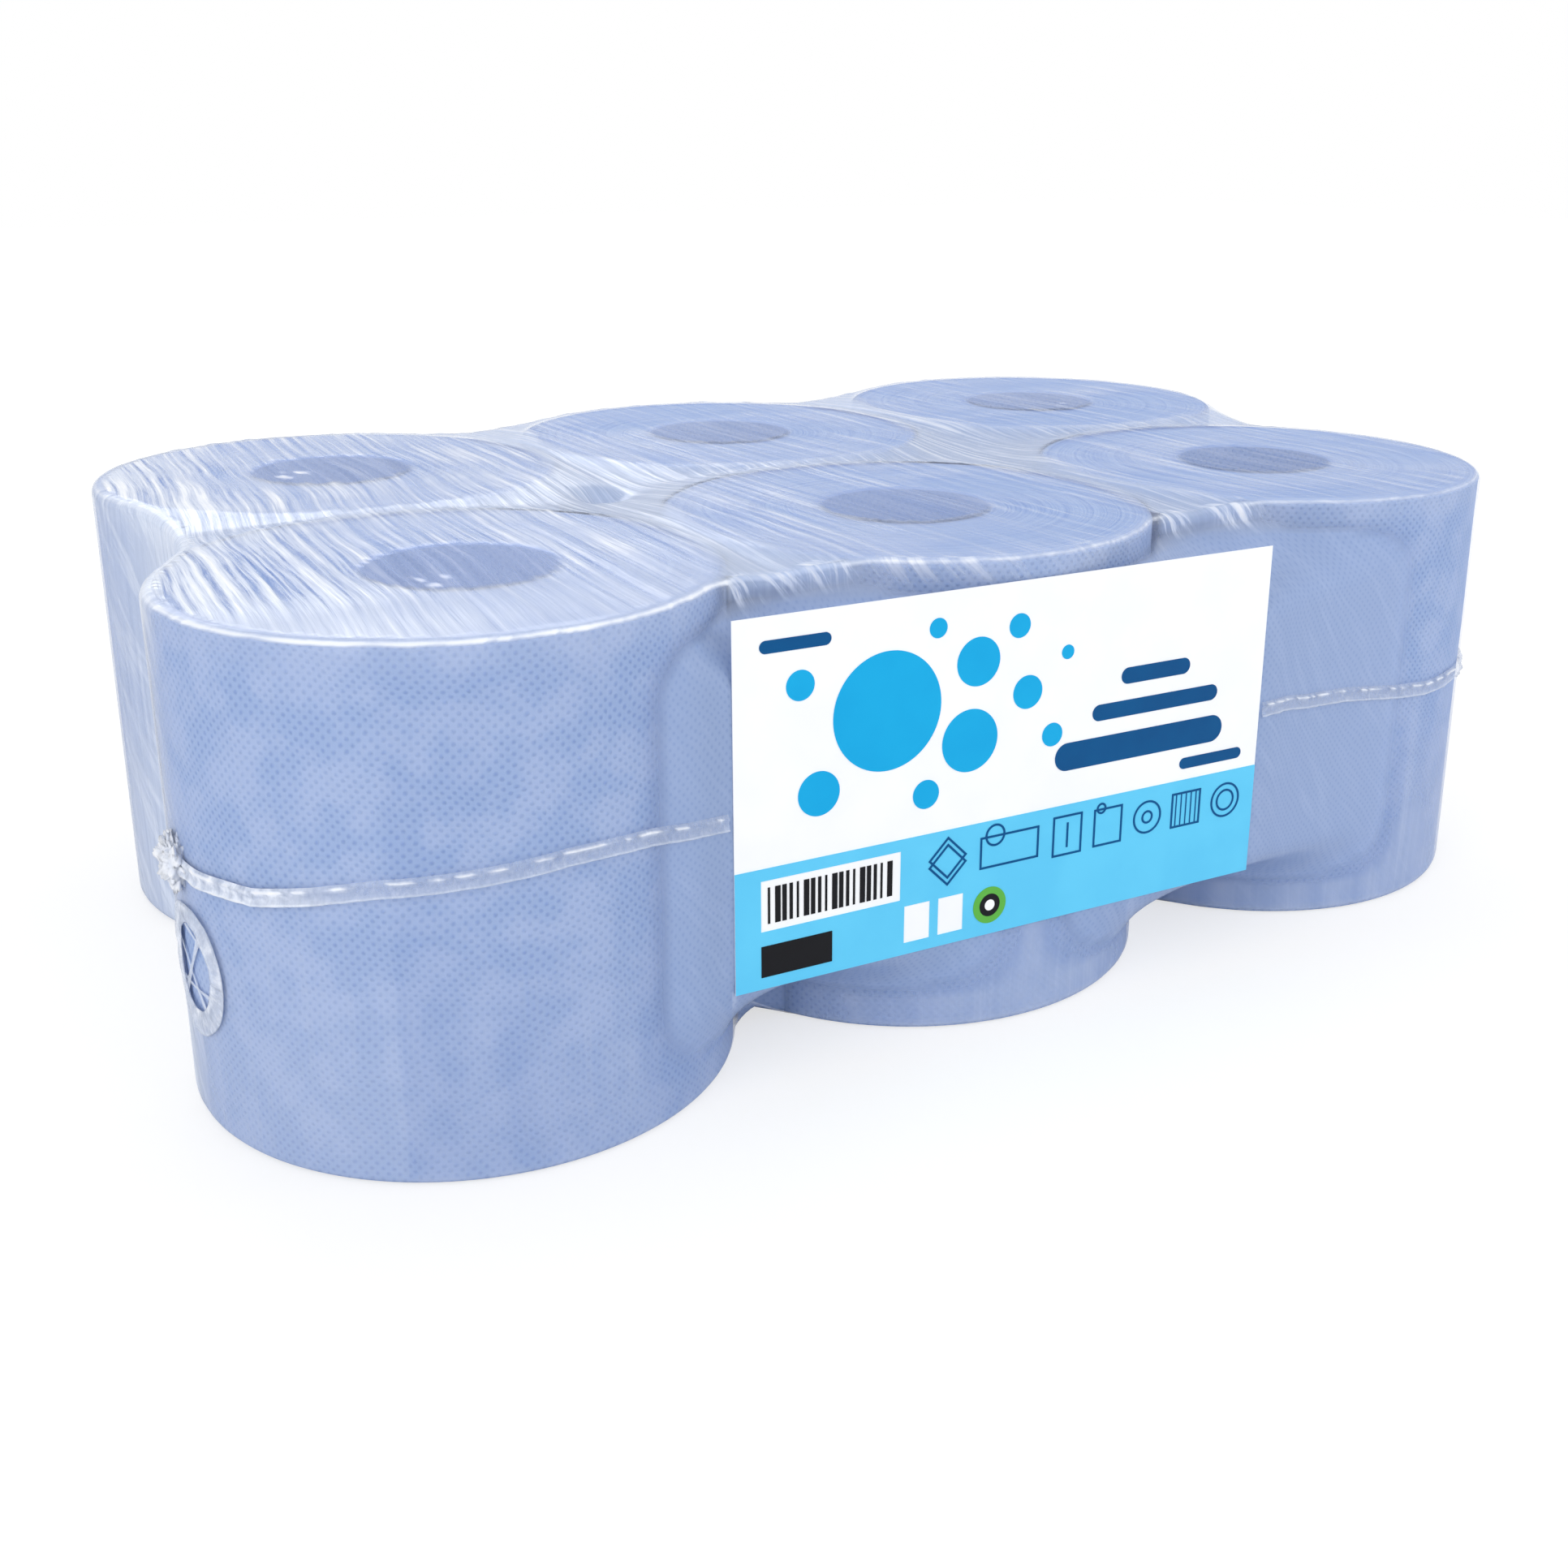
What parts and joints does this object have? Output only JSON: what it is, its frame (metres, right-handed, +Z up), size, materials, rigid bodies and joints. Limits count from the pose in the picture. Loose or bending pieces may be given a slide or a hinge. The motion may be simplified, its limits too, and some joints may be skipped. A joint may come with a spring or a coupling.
{
  "type": "pack of blue paper hand towel rolls",
  "caption": "Blue embossed paper rolls without cores, standing in two staggered rows, shrink-wrapped in clear film with a flat printed label across the front.",
  "frame": {"origin": "middle of the pack's underside, on the floor that it stands on", "axes": "+X along the two rows of rolls, -Y the labelled front, +Z up along the roll axes"},
  "size_m": [0.6834, 0.4391, 0.202],
  "materials": {
    "paper": "soft embossed tissue, matt",
    "film": "clear glossy shrink film with creases",
    "label_white": "smooth coated paper",
    "label_sky": "printed field, smooth",
    "label_blue": "printed field, smooth",
    "label_navy": "printed field, smooth"
  },
  "bodies": {
    "root": {"roll_front_left": "paper", "roll_front_middle": "paper", "roll_front_right": "paper", "roll_back_left": "paper", "roll_back_middle": "paper", "roll_back_right": "paper", "shrink_film": "film", "label": "label_white", "label_band": "label_sky", "label_discs": "label_blue", "label_marks": "label_navy"}
  },
  "joints": []
}
